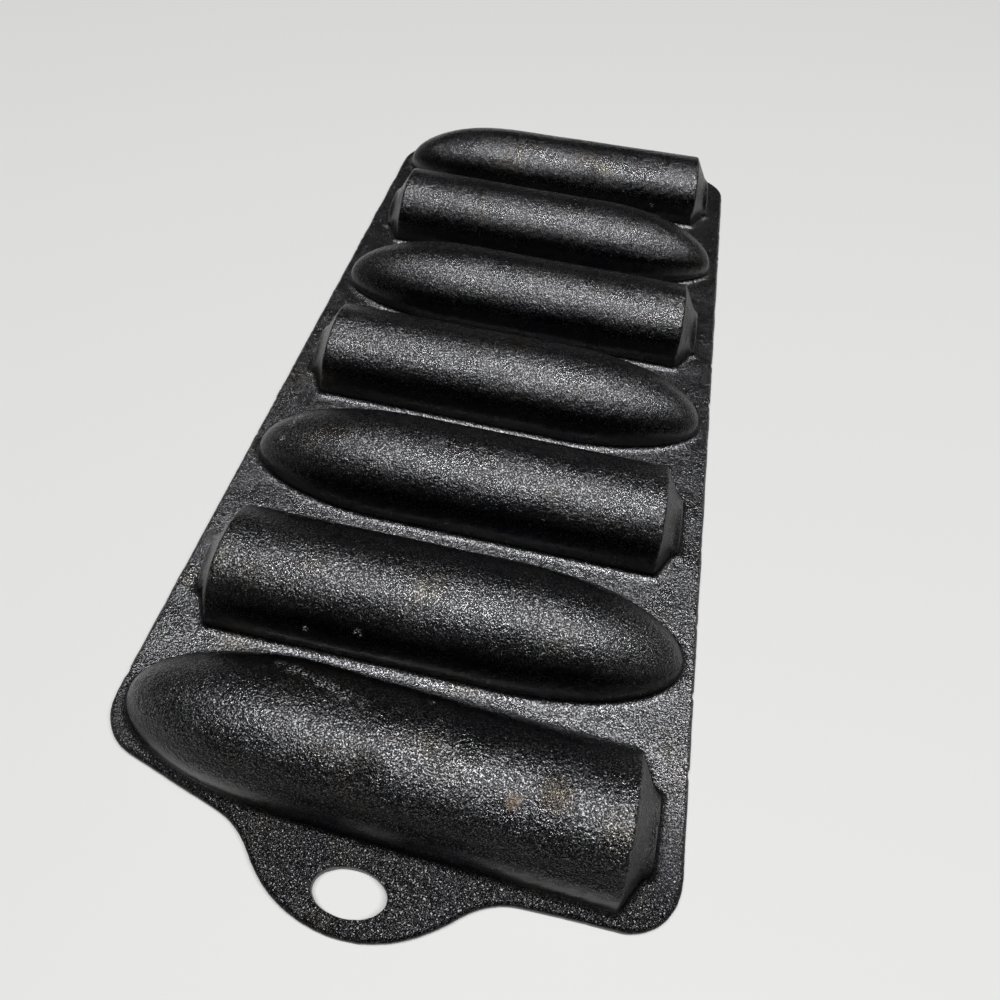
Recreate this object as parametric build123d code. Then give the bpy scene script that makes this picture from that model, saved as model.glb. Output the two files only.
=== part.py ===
from build123d import *
from math import asin, cos, degrees, hypot, pi, radians, sin, sqrt, tan
import os

# Cast iron corn stick pan, lying mouths down, in millimetres
# X runs along the sticks, Y from the near end to the far end, Z up from the table
# The pan is one casting, and each file is a region of it that meets its neighbours face to face

# Rim plate
cup_count = 7
cup_pitch = 43.8
far_cup_gap = 1.9
rim_thickness = 3.0
near_margin = 3.1
far_margin = 4.7
rim_top_chamfer = 0.8
rim_mouth_chamfer = 0.4
square_corner_radius = 13.0
tapered_corner_radius = 14.0
taper_run = 50.7
taper_drop = 15.2

# Cup back, with its rounded tip toward -X and its butt toward +X
cup_radius = 18.0
cup_rise = 18.6
tip_margin = 4.0
cup_length = 124.3
butt_margin = 13.7
nose_length = 45.0
end_cup_skew = 5.4
foot_round = 1.8
flare_steps = 3
flare_sink_share = 0.4
butt_slope_length = 4.2
stub_radius = 10.2
stub_end_radius = 9.0
stub_length = 2.3
draft_degrees = 4.5
stub_draft_degrees = 9.0
half_turn_degrees = 180.0
quarter_turn_degrees = 90.0

# Cavity
cup_wall = 3.2
kernel_depth = 1.1
kernel_rows = 6
body_kernels = 12
nose_kernels = 5
kernel_border_share = 0.2
nose_end_degrees = 78.0
tip_kernel_depth_share = 0.45
cut_overrun = 1.0

# Handle tabs
lobe_radius = 34.0
lobe_reach = 14.0
lobe_blend_radius = 20.0
hole_length = 16.7
hole_width = 9.6
hole_edge = 4.1
hole_offset = 1.0
tab_seat_width = 72.0

# Places worked out from the sizes
rim_width = tip_margin + cup_length + butt_margin
cup_span = (cup_count - 1) * cup_pitch + far_cup_gap
end_edge = (near_margin + cup_radius + cup_span + cup_radius + far_margin) / 2
first_cup_place = near_margin + cup_radius - end_edge
last_cup_place = first_cup_place + cup_span
skew_sine = end_cup_skew / cup_length
end_cup_turn_degrees = degrees(asin(skew_sine))
tab_tip = end_edge + lobe_reach
hole_place = tab_tip - hole_edge - hole_width / 2
tab_seam = end_edge - (near_margin - foot_round) / 2
tip_place = tip_margin - rim_width / 2
butt_place = tip_place + cup_length
nose_start = tip_place + nose_length
axis_height = rim_thickness + cup_rise - cup_radius


def flat_on(outline, height):
    """Move a plan sketch to a height."""
    return Pos(0, 0, height) * outline


def rim_outline():
    """Plan of the rim plate, with its tapered left corners and a lobe at each end."""
    plan = Rectangle(rim_width, 2 * end_edge)
    for end in (-1, 1):
        corner = (-rim_width / 2, end * end_edge)
        along = (corner[0] + taper_run, corner[1])
        up = (corner[0], corner[1] - end * taper_drop)
        plan -= make_face(Polyline(corner, along, up, close=True))
    for end in (-1, 1):
        plan += Pos(0, end * (tab_tip - lobe_radius)) * Circle(lobe_radius)
    corners = plan.vertices()
    square = [v for v in corners if v.X > rim_width / 2 - near_margin]
    plan = fillet(square, square_corner_radius)
    tapered = [v for v in plan.vertices() if v.X < near_margin - rim_width / 2]
    plan = fillet(tapered, tapered_corner_radius)
    necks = [v for v in plan.vertices() if abs(v.X) < lobe_radius and abs(v.Y) > last_cup_place]
    return fillet(necks, lobe_blend_radius)


def rim_slab():
    """The whole rim plate before it is cut into regions, holed at both tabs."""
    slab = extrude(rim_outline(), rim_thickness)
    slab = chamfer(slab.edges().group_by(Axis.Z)[-1], rim_top_chamfer)
    slab = chamfer(slab.edges().group_by(Axis.Z)[0], rim_mouth_chamfer)
    hole = extrude(Ellipse(hole_length / 2, hole_width / 2), rim_thickness)
    for end in (-1, 1):
        slab -= Pos(-hole_offset, end * hole_place) * hole
    return slab


def nose_arc(grow):
    """Quarter ellipse round one side of a cup's nose, moved out by a distance."""
    reach, radius, quarter = nose_length + grow, cup_radius + grow, quarter_turn_degrees
    return EllipticalCenterArc((nose_start, 0), reach, radius, quarter, arc_size=quarter)


def half_plan():
    """Half of a cup's plan: tip, nose and straight side, run past the butt."""
    past_butt = butt_place + cup_radius
    nose = nose_arc(0)
    side = Polyline((nose_start, cup_radius), (past_butt, cup_radius), (past_butt, 0), (tip_place, 0))
    return make_face(nose + side)


def arch(place, radius, lean_degrees):
    """Upright section of a cup at a place along X: two legs and a half round."""
    tilt = tan(radians(lean_degrees))
    lean = Plane(origin=(place, 0, rim_thickness), x_dir=(0, 1, 0), z_dir=(1, 0, tilt))
    foot = -rim_thickness
    shoulder = axis_height - rim_thickness
    legs = Polyline((-radius, shoulder), (-radius, foot), (radius, foot), (radius, shoulder))
    crown = ThreePointArc((radius, shoulder), (0, shoulder + radius), (-radius, shoulder))
    return lean * make_face(legs + crown)


def cup_back():
    """Outer form of one cup from the table up: half round body, nose, sloped butt and stub."""
    half = half_plan()
    crown = revolve(flat_on(half, axis_height), Axis((0, 0, axis_height), (1, 0, 0)), half_turn_degrees)
    legs = extrude(half + mirror(half, Plane.XZ), axis_height)
    lean = Plane(origin=(butt_place, 0, rim_thickness), z_dir=(1, 0, tan(radians(draft_degrees))))
    body = split(crown + legs, lean, keep=Keep.BOTTOM)
    stub_place = butt_place + butt_slope_length
    butt_edge = body.faces().sort_by(Axis.X)[-1]
    stub_root = arch(stub_place, stub_radius, draft_degrees)
    butt = loft([butt_edge, stub_root])
    stub_end = arch(stub_place + stub_length, stub_end_radius, stub_draft_degrees)
    stub = loft([stub_root, stub_end])
    return body + butt + stub


def foot_corners():
    """Corners of half a cup's foot, from the straight side round the butt to the stub's end."""
    stub_place = butt_place + butt_slope_length
    stub_end = stub_place + stub_length
    return [
        Vector(nose_start, cup_radius),
        Vector(butt_place, cup_radius),
        Vector(stub_place, stub_radius),
        Vector(stub_end, stub_end_radius),
        Vector(stub_end, 0),
    ]


def foot_plan(grow):
    """Plan of a cup's foot, moved out by an even distance."""
    corners = foot_corners()
    runs = [(b - a).normalized() for a, b in zip(corners, corners[1:])]
    outs = [Vector(-run.Y, run.X) for run in runs]
    moved = [corners[0] + outs[0] * grow]
    for corner, before, after in zip(corners[1:], outs, outs[1:]):
        moved.append(corner + (before + after) * (grow / (1 + before.dot(after))))
    moved.append(corners[-1] + outs[-1] * grow)
    nose = nose_arc(grow)
    half = Polyline(*moved)
    return make_face(nose + half + mirror(nose, Plane.XZ) + mirror(half, Plane.XZ))


def foot_flare():
    """Hollow-curved flare that leads a cup's wall out into the rim plate."""
    sections = [flat_on(foot_plan(foot_round), rim_thickness / 2)]
    for step in range(flare_steps):
        turn = pi / 2 * step / flare_steps
        height = rim_thickness + foot_round * (1 - cos(turn))
        sections.append(flat_on(foot_plan(foot_round * (1 - sin(turn))), height))
    sunk = foot_plan(-foot_round * flare_sink_share)
    sections.append(flat_on(sunk, rim_thickness + foot_round))
    return loft(sections, ruled=True)


def kernel_stations():
    """Stations along the cavity as (x, radius, outward direction, pit depth), butt to tip."""
    valley = cup_radius - cup_wall - kernel_depth
    reach = nose_length - cup_wall - kernel_depth
    start = butt_place - cup_wall

    def on_body(step):
        return (start + (nose_start - start) * step / body_kernels, valley, (0, 1), kernel_depth)

    def on_nose(step):
        turn = radians(nose_end_degrees) * step / nose_kernels
        out = (-sin(turn) / reach, cos(turn) / valley)
        size = hypot(*out)
        depth = kernel_depth * (1 - (1 - tip_kernel_depth_share) * (1 - cos(turn)))
        place = nose_start - reach * sin(turn)
        return (place, valley * cos(turn), (out[0] / size, out[1] / size), depth)

    return on_body, on_nose


def kernel_core():
    """Solid that fills a cavity: rows of flat-topped kernels on a half round body and nose."""
    on_body, on_nose = kernel_stations()

    def station(step):
        return on_body(step) if step <= body_kernels else on_nose(step - body_kernels)

    def point(step, row, raised):
        place, radius, out, depth = station(step)
        lift = depth if raised else 0
        around = pi * row / kernel_rows
        reach = radius + lift * out[1]
        return Vector(place + lift * out[0], reach * cos(around), axis_height + reach * sin(around))

    def flat(*points):
        return Face(Wire.make_polygon(points, close=True))

    steps = body_kernels + nose_kernels
    share = kernel_border_share
    faces = []
    for step in range(steps):
        for row in range(kernel_rows):
            low = [point(step + u, row + v, False) for u, v in ((0, 0), (1, 0), (1, 1), (0, 1))]
            inner = ((share, share), (1 - share, share), (1 - share, 1 - share), (share, 1 - share))
            top = [point(step + u, row + v, True) for u, v in inner]
            faces.append(flat(*top))
            for side in range(4):
                following = (side + 1) % 4
                a, b, c, d = low[side], low[following], top[following], top[side]
                if side % 2 == 0 and step >= body_kernels:
                    faces += [flat(a, b, c), flat(a, c, d)]
                else:
                    faces.append(flat(a, b, c, d))

    def mouth(step, row):
        rim = point(step, row, False)
        return Vector(rim.X, rim.Y, -cut_overrun)

    for row in (0, kernel_rows):
        for step in range(steps):
            top = (point(step, row, False), point(step + 1, row, False))
            faces.append(flat(top[0], top[1], mouth(step + 1, row), mouth(step, row)))
    for step in (0, steps):
        ring = [point(step, row, False) for row in range(kernel_rows + 1)]
        faces.append(flat(mouth(step, 0), *ring, mouth(step, kernel_rows)))
    one_side = [mouth(step, 0) for step in range(steps + 1)]
    other_side = [mouth(step, kernel_rows) for step in reversed(range(steps + 1))]
    faces.append(flat(*one_side, *other_side))
    return Solid(Shell(faces))


def butt_core():
    """Solid that fills the smooth end of a cavity, from the last kernels to the stub."""
    start = butt_place - cup_wall - kernel_depth
    neck = butt_place + butt_slope_length - cup_wall
    valley = cup_radius - cup_wall - kernel_depth
    shank = stub_radius - cup_wall
    end = neck + stub_length
    cone = loft([arch(start, valley, 0), arch(neck, shank, 0)])
    stub = loft([arch(neck, shank, 0), arch(end, stub_end_radius - cup_wall, 0)])
    mouth_way = extrude((cone + stub).faces().sort_by(Axis.Z)[0], cut_overrun)
    return cone + stub + mouth_way


def zone(start, end, width):
    """Block over the rim plate between two places along Y."""
    block = extrude(Rectangle(width, end - start), rim_thickness)
    return Pos(0, (start + end) / 2, 0) * block


def skewed_reach():
    """How far a skewed end cup's foot reaches toward the next cup from its own place."""
    foot = cup_radius + foot_round
    nose = nose_length + foot_round
    across = foot * sqrt(1 - skew_sine**2)
    return (cup_length - nose_length) * skew_sine + hypot(nose * skew_sine, across)


def seams():
    """Places along Y of the seams between neighbouring cups, near to far."""
    next_foot = cup_pitch - cup_radius - foot_round
    first = first_cup_place + (skewed_reach() + next_foot) / 2
    last = last_cup_place - (skewed_reach() + next_foot + far_cup_gap) / 2
    between = [first_cup_place + (step + 1 / 2) * cup_pitch for step in range(1, cup_count - 2)]
    return [first, *between, last]


def build():
    """Every region of the casting, by name."""
    slab = rim_slab()
    wide = 2 * rim_width
    past_end = tab_tip + lobe_reach
    near_tab_zone = zone(-past_end, -tab_seam, tab_seat_width)
    far_tab_zone = zone(tab_seam, past_end, tab_seat_width)
    regions = {"near_handle_tab": slab & near_tab_zone, "far_handle_tab": slab & far_tab_zone}

    outside = [cup_back(), foot_flare()]
    inside = [kernel_core(), butt_core()]
    butt = Pos(butt_place, 0, 0)
    limits = [-past_end, *seams(), past_end]
    for index in range(cup_count):
        region = slab & zone(limits[index], limits[index + 1], wide)
        place, turn = first_cup_place + index * cup_pitch, 0
        if index == 0:
            region -= near_tab_zone
            turn = -end_cup_turn_degrees
        if index == cup_count - 1:
            region -= far_tab_zone
            place, turn = last_cup_place, end_cup_turn_degrees
        heading = index % 2 * half_turn_degrees
        seat = Pos(0, place, 0) * Rot(0, 0, heading) * butt * Rot(0, 0, turn) * butt.inverse()
        for form in outside:
            region += seat * form
        for form in inside:
            region -= seat * form
        regions[f"ear_mould_{index + 1}"] = region
    return regions


os.makedirs("parts", exist_ok=True)
for name, region in build().items():
    export_step(region, f"parts/{name}.step")
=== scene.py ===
from math import radians

import bmesh
import bpy
import numpy as np
from mathutils import Euler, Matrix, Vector


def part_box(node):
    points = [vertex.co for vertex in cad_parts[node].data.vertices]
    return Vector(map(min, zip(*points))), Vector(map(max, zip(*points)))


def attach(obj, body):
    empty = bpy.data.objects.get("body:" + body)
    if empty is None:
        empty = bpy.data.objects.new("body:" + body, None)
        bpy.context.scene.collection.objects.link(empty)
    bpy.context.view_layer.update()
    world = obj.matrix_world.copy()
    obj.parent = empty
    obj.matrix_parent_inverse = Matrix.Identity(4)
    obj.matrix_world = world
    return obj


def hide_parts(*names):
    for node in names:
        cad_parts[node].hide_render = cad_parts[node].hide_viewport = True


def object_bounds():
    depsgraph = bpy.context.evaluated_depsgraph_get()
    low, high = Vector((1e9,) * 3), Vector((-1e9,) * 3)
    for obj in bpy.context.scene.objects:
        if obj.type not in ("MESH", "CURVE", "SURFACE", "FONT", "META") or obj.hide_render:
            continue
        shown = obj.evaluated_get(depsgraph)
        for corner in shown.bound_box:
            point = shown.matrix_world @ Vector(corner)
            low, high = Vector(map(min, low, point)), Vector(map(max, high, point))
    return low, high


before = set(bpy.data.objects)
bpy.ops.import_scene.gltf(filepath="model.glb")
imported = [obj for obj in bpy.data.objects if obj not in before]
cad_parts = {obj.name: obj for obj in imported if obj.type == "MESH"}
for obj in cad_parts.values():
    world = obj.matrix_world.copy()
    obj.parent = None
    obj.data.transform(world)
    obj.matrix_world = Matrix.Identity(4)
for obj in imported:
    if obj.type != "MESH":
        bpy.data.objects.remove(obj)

CAD_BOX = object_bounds()
LOW, HIGH = (np.array(corner, float) for corner in CAD_BOX)
MM = 0.001

# Cast skin. A set of waves has the distance between its bumps, their number and its seed.
VOXEL = 0.5 * MM
SOFTEN_FACTOR = 0.5
SOFTEN_PASSES = 4
WAVE_RATES = (0.6, 1.5)
SWELL_DEPTH = 0.16 * MM
SWELL = (16 * MM, 12, 3)
LUMP_DEPTH = 0.05 * MM
LUMPS = (3.4 * MM, 24, 5)
NICK_DEPTH = 0.28 * MM
NICKS = (4.5 * MM, 10, 11)
NICK_ONSET = 0.7
NICK_LIMIT = 1.2
NICK_UPRIGHT = 0.3
EDGE_BAND = 2.0 * MM
FOOT_BAND = 0.6 * MM
SHARP_ANGLE = radians(38)

# Regions, which meet on the CAD's seams
MOULDS = sorted(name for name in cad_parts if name.startswith("ear_mould"))
END_TABS = {"near_handle_tab": MOULDS[0], "far_handle_tab": MOULDS[-1]}
TAB_HALF_WIDTH = 36 * MM
OVERRUN = 5 * MM

# Camera, fitted to the photograph
CAMERA_PLACE = (0.02509, -0.18453, 0.18732)
CAMERA_DEGREES = (36.587, -3.808, 11.745)
LENS = 27.42
SENSOR = 36.0

# Light and table
LAMP_PLACE = (0.55, -0.28, 3.0)
LAMP_SIZE = (3.7, 0.62)
LAMP_WATTS = 112
ROOM_COLOUR = (0.97, 0.98, 1.0, 1)
ROOM_STRENGTH = 0.04
TABLE_COLOUR = (0.765, 0.765, 0.755, 1)
TABLE_ROUGHNESS = 0.6
TABLE_HALF_SIZE = 12

# Iron: colours of the skin, of the bare grains and of what lies on them
BLACK = (0.0036, 0.0034, 0.0034)
BLUE_BLACK = (0.0034, 0.0032, 0.0062)
BROWN_BLACK = (0.0100, 0.0072, 0.0045)
GREY_BLACK = (0.0046, 0.0044, 0.0046)
BARE_METAL = (0.32, 0.32, 0.333)
BROWN_METAL = (0.32, 0.309, 0.288)
RESIDUE_GREY = (0.45, 0.45, 0.45)

# Iron: each noise's distance between bumps, detail and, for the grain, roughness
NOISES = {
    "stain": (14 * MM, 4),
    "mottle": (3 * MM, 5),
    "blue": (22 * MM, 2),
    "speckle": (0.4 * MM, 2),
    "ragged": (1.6 * MM, 3),
    "crumbs": (0.5 * MM, 3),
    "calm": (3 * MM, 2),
    "polish": (9 * MM, 4),
    "grain": (0.8 * MM, 3, 0.6),
    "fine": (0.3 * MM, 1),
}

# Iron: the values of a noise between which a look comes in
BROWN_FROM_TO = (0.52, 0.75)
MOTTLE_FROM_TO = (0.35, 0.7)
BLUE_FROM_TO = (0.5, 0.68)
METAL_FROM_TO = (0.36, 0.45)
CUP_BARE_FROM_TO = (0.45, 0.68)
RIM_BARE_FROM_TO = (0.42, 0.62)
# Painted shade: the near handle tab's higher range leaves it fewer bright grains, so it renders
# darker.
SHADED_TAB_BARE_FROM_TO = (0.57, 0.70)
CRUMBS_FROM_TO = (0.54, 0.62)
POLISH_FROM_TO = (0.3, 0.7)

# Iron: where on the pan a look comes in. A face's level is how far its normal points up or down.
SANDY_LEVEL = (0.15, 0.5)
SANDY_LEAST = 0.1
BARE_LEVEL = (0.48, 0.9)
RIM_HEIGHT = (3.1 * MM, 4.2 * MM)
# Painted shade: from this y range to the near end, the rim and near handle tab get fewer bright
# grains, so they render darker; they are also made rougher.
NEAR_TAB_SHADE_Y = (-150 * MM, -112 * MM)
PATCH_RIM = (0.8, 1.4)

# Iron: gloss and relief
ROUGHNESS = (0.24, 0.32)
DULL_ROUGHNESS = 0.2
SPECULAR_LEVEL = 0.8
FINE_SHARE = 0.35
RELIEF = 0.29 * MM

# Rust, stains and residue: centre and reach in mm, and colour.
# A stain multiplies what lies under it.
RUST = ((29.6, -137.9, 20.6), 2.6, (0.085, 0.050, 0.021))
RUST_STRENGTH = 0.85
STAINS = (
    ((38.2, -134.6, 21.5), 6.5, (0.58, 0.52, 0.42)),
    ((-2.7, -137.2, 20.3), 6.0, (0.35, 0.35, 0.33)),
    ((3.6, 4.0, 20.6), 8.0, (0.70, 0.66, 0.48)),
    ((12.9, 117.0, 14.0), 7.0, (0.45, 0.45, 0.45)),
)
RESIDUE = (
    ((-30.0, -118.6, 17.2), 2.0),
    ((-26.0, -119.2, 18.2), 3.0),
    ((-22.5, -120.2, 18.9), 2.6),
    ((-19.0, -121.2, 19.4), 3.0),
    ((-15.5, -122.2, 19.8), 2.6),
    ((-12.0, -123.2, 20.2), 2.8),
    ((-8.0, -123.8, 20.5), 2.0),
    ((7.0, -119.4, 17.4), 1.2),
    ((-54.5, -41.5, 15.0), 2.4),
    ((-55.5, -45.0, 15.4), 2.2),
    ((-57.0, -49.5, 14.2), 1.8),
    ((43.6, -43.5, 21.5), 1.2),
    ((-29.6, -105.7, 11.2), 1.2),
    ((-15.9, -104.7, 13.0), 1.8),
    ((40.1, 113.8, 9.6), 1.2),
)


def linked(name, data):
    """A new object in the scene."""
    obj = bpy.data.objects.new(name, data)
    bpy.context.scene.collection.objects.link(obj)
    return obj


def kept(mesh, name):
    """Turns a bmesh into mesh data with a name, and frees it."""
    data = bpy.data.meshes.new(name)
    mesh.to_mesh(data)
    mesh.free()
    return data


def applied(obj, kind, **settings):
    """Adds one modifier to an object, sets it and applies it."""
    bpy.ops.object.select_all(action="DESELECT")
    obj.select_set(True)
    bpy.context.view_layer.objects.active = obj
    modifier = obj.modifiers.new(kind.lower(), kind)
    for key, value in settings.items():
        setattr(modifier, key, value)
    bpy.ops.object.modifier_apply(modifier=modifier.name)


def joined_casting():
    """One mesh of every CAD node's surface, fused and evenly meshed."""
    mesh = bmesh.new()
    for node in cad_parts.values():
        mesh.from_mesh(node.data)
    casting = linked("casting", kept(mesh, "casting"))
    applied(casting, "REMESH", mode="VOXEL", voxel_size=VOXEL)
    applied(casting, "SMOOTH", factor=SOFTEN_FACTOR, iterations=SOFTEN_PASSES)
    return casting


def read(mesh, what):
    """A value of every vertex, such as its place or its normal, as rows of three."""
    values = np.empty(len(mesh.vertices) * 3, np.float32)
    mesh.vertices.foreach_get(what, values)
    return values.reshape(-1, 3).astype(float)


def waves(points, size, count, seed):
    """Smooth unevenness, about -1 to 1: plane waves in seeded directions, added up."""
    rng = np.random.default_rng(seed)
    total = np.zeros(len(points))
    for _ in range(count):
        way = rng.normal(size=3)
        way *= rng.uniform(*WAVE_RATES) / np.linalg.norm(way)
        total += np.sin(points @ way * (2 * np.pi / size) + rng.uniform(0, 2 * np.pi))
    return total / np.sqrt(count)


def roughen(casting):
    """A sand casting's unevenness and nicks on its long edges, kept inside the CAD box."""
    mesh = casting.data
    points = read(mesh, "co")
    depth = SWELL_DEPTH * (waves(points, *SWELL) - 1) / 2
    depth += LUMP_DEPTH * (waves(points, *LUMPS) - 1) / 2
    to_edge = np.minimum(HIGH[0] - points[:, 0], points[:, 0] - LOW[0])
    nick = waves(points * (1, 1, NICK_UPRIGHT), *NICKS) - NICK_ONSET
    nick = np.clip(nick, 0, NICK_LIMIT)
    depth -= NICK_DEPTH * nick * np.clip(1 - to_edge / EDGE_BAND, 0, 1)
    depth *= np.clip(points[:, 2] / FOOT_BAND, 0, 1)
    points = np.clip(points + read(mesh, "normal") * depth[:, None], LOW, HIGH)
    mesh.vertices.foreach_set("co", points.astype(np.float32).ravel())
    mesh.update()


def bay(casting, name, seams):
    """The stretch of the casting between two seams across it, closed where it is cut."""
    mesh = bmesh.new()
    mesh.from_mesh(casting.data)
    for place, side in seams:
        cut = bmesh.ops.bisect_plane(
            mesh,
            geom=mesh.verts[:] + mesh.edges[:] + mesh.faces[:],
            plane_co=(0, place, 0),
            plane_no=(0, side, 0),
            clear_outer=True,
        )
        rim = [part for part in cut["geom_cut"] if isinstance(part, bmesh.types.BMEdge)]
        bmesh.ops.holes_fill(mesh, edges=rim, sides=0)
    return linked(name + "_cast", kept(mesh, name + "_cast"))


def cutter(low, high):
    """A closed box between two corners."""
    mesh = bmesh.new()
    bmesh.ops.create_cube(mesh, size=1)
    for vertex in mesh.verts:
        vertex.co = [low[i] + (vertex.co[i] + 0.5) * (high[i] - low[i]) for i in range(3)]
    return linked("cutter", kept(mesh, "cutter"))


def regions(casting):
    """The casting cut into the CAD's regions, by node."""
    made = {}
    for index, name in enumerate(MOULDS):
        low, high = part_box(name)
        seams = []
        if index > 0:
            seams.append((low.y, -1))
        if index < len(MOULDS) - 1:
            seams.append((high.y, 1))
        made[name] = bay(casting, name, seams)
    for tab, mould in END_TABS.items():
        low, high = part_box(tab)
        outer = 1 if high.y > 0 else -1
        inner_y = low.y if outer > 0 else high.y
        outer_y = inner_y + outer * (high.y - low.y + OVERRUN)
        box_low = (-TAB_HALF_WIDTH, min(inner_y, outer_y), low.z - OVERRUN)
        box_high = (TAB_HALF_WIDTH, max(inner_y, outer_y), high.z + OVERRUN)
        box = cutter(box_low, box_high)
        piece = linked(tab + "_cast", made[mould].data.copy())
        applied(piece, "BOOLEAN", operation="INTERSECT", solver="EXACT", object=box)
        applied(made[mould], "BOOLEAN", operation="DIFFERENCE", solver="EXACT", object=box)
        bpy.data.objects.remove(box)
        made[tab] = piece
    return made


def new_material(name):
    """An empty material's node tree and the Principled shader that gives its surface."""
    material = bpy.data.materials.new(name)
    material.use_nodes = True
    tree = material.node_tree
    tree.nodes.clear()
    output = tree.nodes.new("ShaderNodeOutputMaterial")
    shader = tree.nodes.new("ShaderNodeBsdfPrincipled")
    link(tree, shader.outputs["BSDF"], output.inputs["Surface"])
    return material, tree, shader


def link(tree, source, target):
    """Links one socket to another."""
    tree.links.new(source, target)


def noise(tree, coordinates, name):
    """One of the noises listed above."""
    size, detail, *roughness = NOISES[name]
    node = tree.nodes.new("ShaderNodeTexNoise")
    node.inputs["Scale"].default_value = 1 / size
    node.inputs["Detail"].default_value = detail
    node.inputs["Roughness"].default_value = roughness[0] if roughness else 0.55
    link(tree, coordinates, node.inputs["Vector"])
    return node.outputs["Fac"]


def spread(tree, source, low, high, to_low=0.0, to_high=1.0):
    """Maps a range of a value onto another range, with soft ends."""
    node = tree.nodes.new("ShaderNodeMapRange")
    node.interpolation_type = "SMOOTHSTEP"
    node.inputs["From Min"].default_value = low
    node.inputs["From Max"].default_value = high
    node.inputs["To Min"].default_value = to_low
    node.inputs["To Max"].default_value = to_high
    link(tree, source, node.inputs["Value"])
    return node.outputs["Result"]


def mixed(tree, factor, first, second, blend="MIX"):
    """Mixes two colours, each a socket or a plain colour."""
    node = tree.nodes.new("ShaderNodeMix")
    node.data_type = "RGBA"
    node.blend_type = blend
    link(tree, factor, node.inputs["Factor"])
    for socket, colour in ((node.inputs[6], first), (node.inputs[7], second)):
        if isinstance(colour, tuple):
            socket.default_value = (*colour, 1)
        else:
            link(tree, colour, socket)
    return node.outputs[2]


def maths(tree, operation, first, second=0):
    """One operation on two values, each a socket or a number."""
    node = tree.nodes.new("ShaderNodeMath")
    node.operation = operation
    for socket, value in zip(node.inputs, (first, second)):
        if isinstance(value, (int, float)):
            socket.default_value = value
        else:
            link(tree, value, socket)
    return node.outputs[0]


def product(tree, first, second):
    return maths(tree, "MULTIPLY", first, second)


def rest_of(tree, value):
    """What is left of 1 after a value."""
    return maths(tree, "SUBTRACT", 1.0, value)


def patch(tree, place, centre, reach, tone):
    """A ragged patch round a point: 1 inside it, 0 past its reach."""
    node = tree.nodes.new("ShaderNodeVectorMath")
    node.operation = "DISTANCE"
    link(tree, place, node.inputs[0])
    node.inputs[1].default_value = [value * MM for value in centre]
    apart = maths(tree, "ADD", node.outputs["Value"], product(tree, tone, reach * MM))
    inner, outer = PATCH_RIM
    return spread(tree, apart, reach * inner * MM, reach * outer * MM, 1.0, 0.0)


def residue(tree, place):
    """Dried pale residue: broken specks in a few places, 0 elsewhere."""
    crumbs = spread(tree, noise(tree, place, "crumbs"), *CRUMBS_FROM_TO)
    calm = noise(tree, place, "calm")
    total = 0.0
    for centre, reach in RESIDUE:
        total = maths(tree, "MAXIMUM", total, patch(tree, place, centre, reach, calm))
    return product(tree, total, crumbs)


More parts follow.
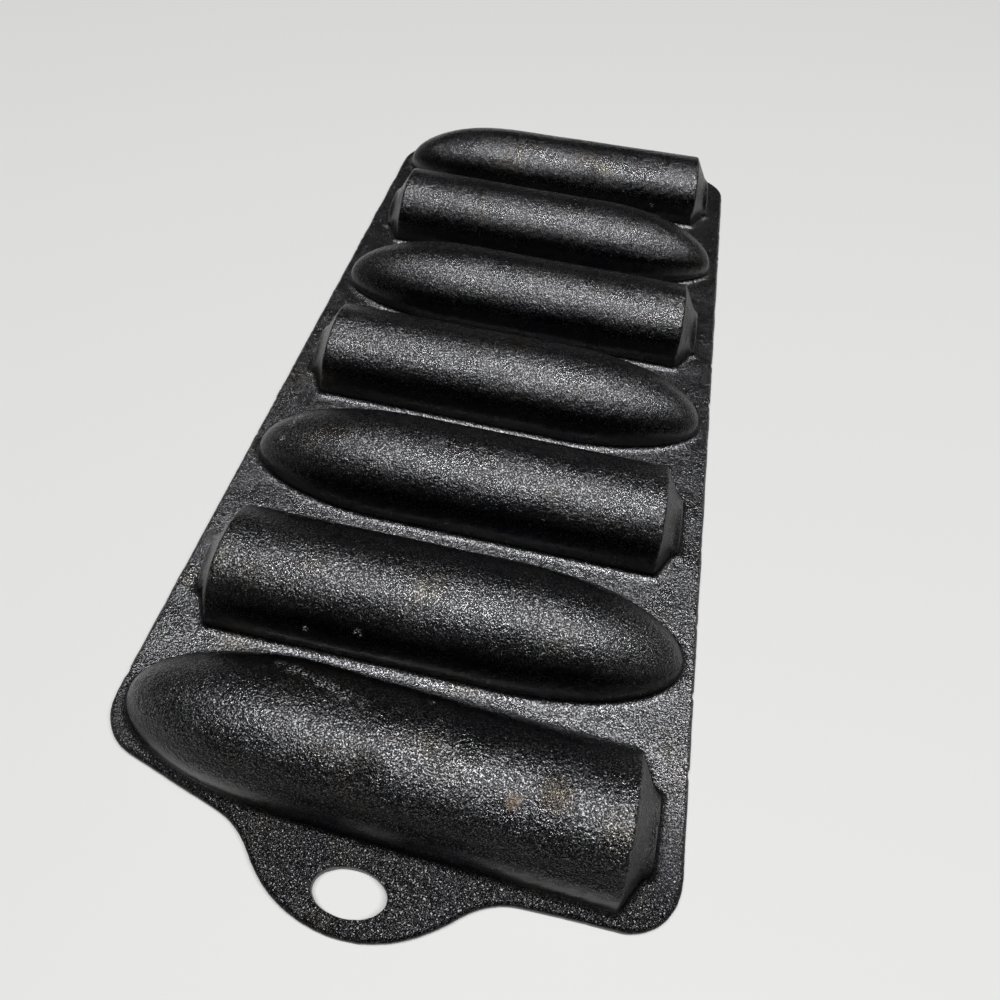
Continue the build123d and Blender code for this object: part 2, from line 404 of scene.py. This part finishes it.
def seasoned_iron():
    """Black seasoned cast iron: pebbly sand-cast grain, smoother where a wall stands steep.

    Bare grains shine on the level faces, most on the rim and least on the near handle tab, where
    the fewer grains are painted shade; the tab is also rougher.
    """
    material, tree, shader = new_material("seasoned_iron")
    place = tree.nodes.new("ShaderNodeTexCoord").outputs["Object"]
    facing = tree.nodes.new("ShaderNodeSeparateXYZ")
    link(tree, tree.nodes.new("ShaderNodeNewGeometry").outputs["Normal"], facing.inputs[0])
    level = maths(tree, "ABSOLUTE", facing.outputs["Z"])
    sandy = spread(tree, level, *SANDY_LEVEL, SANDY_LEAST, 1.0)
    where = tree.nodes.new("ShaderNodeSeparateXYZ")
    link(tree, place, where.inputs[0])
    rim = spread(tree, where.outputs["Z"], *RIM_HEIGHT, 1.0, 0.0)
    # Painted shade: towards the near end the rim and handle tab lose bright grains and so render
    # darker; they are also made rougher.
    past_tab_shade = spread(tree, where.outputs["Y"], *NEAR_TAB_SHADE_Y)
    shaded_dull_tab = product(tree, rim, rest_of(tree, past_tab_shade))
    bright_rim = product(tree, rim, past_tab_shade)

    brown = spread(tree, noise(tree, place, "stain"), *BROWN_FROM_TO)
    mottled = spread(tree, noise(tree, place, "mottle"), *MOTTLE_FROM_TO)
    blue = spread(tree, noise(tree, place, "blue"), *BLUE_FROM_TO)
    base = mixed(tree, blue, BLACK, BLUE_BLACK)
    base = mixed(tree, brown, base, BROWN_BLACK)
    base = mixed(tree, mottled, base, GREY_BLACK)

    # A grain turns metallic before its colour turns bright, which keeps the iron from a grey haze.
    speckle = noise(tree, place, "speckle")
    metallic = product(tree, spread(tree, speckle, *METAL_FROM_TO), sandy)
    cup_bare = product(tree, spread(tree, speckle, *CUP_BARE_FROM_TO), rest_of(tree, shaded_dull_tab))
    rim_bare = product(tree, spread(tree, speckle, *RIM_BARE_FROM_TO), bright_rim)
    # Painted shade: the near handle tab gets fewer bright grains.
    shaded_tab_bare = product(tree, spread(tree, speckle, *SHADED_TAB_BARE_FROM_TO), shaded_dull_tab)
    bare = maths(tree, "MAXIMUM", maths(tree, "MAXIMUM", cup_bare, rim_bare), shaded_tab_bare)
    bare = product(tree, product(tree, bare, sandy), spread(tree, level, *BARE_LEVEL))
    base = mixed(tree, bare, base, mixed(tree, brown, BARE_METAL, BROWN_METAL))

    ragged = noise(tree, place, "ragged")
    for centre, reach, tint in STAINS:
        base = mixed(tree, patch(tree, place, centre, reach, ragged), base, tint, "MULTIPLY")
    centre, reach, rust = RUST
    rusty = product(tree, patch(tree, place, centre, reach, ragged), RUST_STRENGTH)
    crumbs = residue(tree, place)
    base = mixed(tree, rusty, base, rust)
    base = mixed(tree, crumbs, base, RESIDUE_GREY)
    matte = maths(tree, "MAXIMUM", crumbs, rusty)
    link(tree, base, shader.inputs["Base Color"])
    link(tree, product(tree, metallic, rest_of(tree, matte)), shader.inputs["Metallic"])

    rough = spread(tree, noise(tree, place, "polish"), *POLISH_FROM_TO, *ROUGHNESS)
    rough = maths(tree, "ADD", rough, product(tree, shaded_dull_tab, DULL_ROUGHNESS))
    link(tree, rough, shader.inputs["Roughness"])
    shader.inputs["Specular IOR Level"].default_value = SPECULAR_LEVEL

    fine = product(tree, noise(tree, place, "fine"), FINE_SHARE)
    height = maths(tree, "ADD", noise(tree, place, "grain"), fine)
    bump = tree.nodes.new("ShaderNodeBump")
    bump.inputs["Strength"].default_value = 1.0
    bump.inputs["Distance"].default_value = RELIEF
    link(tree, product(tree, height, sandy), bump.inputs["Height"])
    link(tree, bump.outputs["Normal"], shader.inputs["Normal"])
    return material


def pale_table():
    """Off-white, slightly soft surface."""
    material, _, shader = new_material("pale_table")
    shader.inputs["Base Color"].default_value = TABLE_COLOUR
    shader.inputs["Roughness"].default_value = TABLE_ROUGHNESS
    return material


def table():
    """A wide floor under the pan."""
    mesh = bmesh.new()
    bmesh.ops.create_grid(mesh, x_segments=1, y_segments=1, size=TABLE_HALF_SIZE)
    floor = linked("table", kept(mesh, "table"))
    floor.location.z = LOW[2]
    floor.data.materials.append(pale_table())


def lamp():
    """One wide, soft ceiling lamp that shines straight down, as in the photograph."""
    data = bpy.data.lights.new("ceiling_strip", "AREA")
    data.shape = "RECTANGLE"
    data.size, data.size_y = LAMP_SIZE
    data.energy = LAMP_WATTS
    obj = linked("ceiling_strip", data)
    obj.location = LAMP_PLACE
    obj.rotation_euler = Vector((0, 0, -1)).to_track_quat("-Z", "Y").to_euler()


def room():
    """A dim room round the table, as the photograph's dark iron shows."""
    world = bpy.data.worlds.new("dim_room")
    world.use_nodes = True
    background = world.node_tree.nodes["Background"]
    background.inputs["Color"].default_value = ROOM_COLOUR
    background.inputs["Strength"].default_value = ROOM_STRENGTH
    bpy.context.scene.world = world
    bpy.context.scene.view_settings.view_transform = "Standard"


def view():
    """The photograph's camera."""
    data = bpy.data.cameras.new("camera")
    data.sensor_width = SENSOR
    data.lens = LENS
    camera = linked("camera", data)
    camera.location = CAMERA_PLACE
    camera.rotation_euler = Euler([radians(turn) for turn in CAMERA_DEGREES], "XYZ")
    bpy.context.scene.camera = camera


casting = joined_casting()
roughen(casting)
iron = seasoned_iron()
for node, piece in regions(casting).items():
    piece.data.materials.clear()
    piece.data.materials.append(iron)
    piece.data.polygons.foreach_set("use_smooth", [True] * len(piece.data.polygons))
    piece.data.set_sharp_from_angle(angle=SHARP_ANGLE)
    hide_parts(node)
    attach(piece, "root")
bpy.data.objects.remove(casting)
table()
lamp()
room()
view()
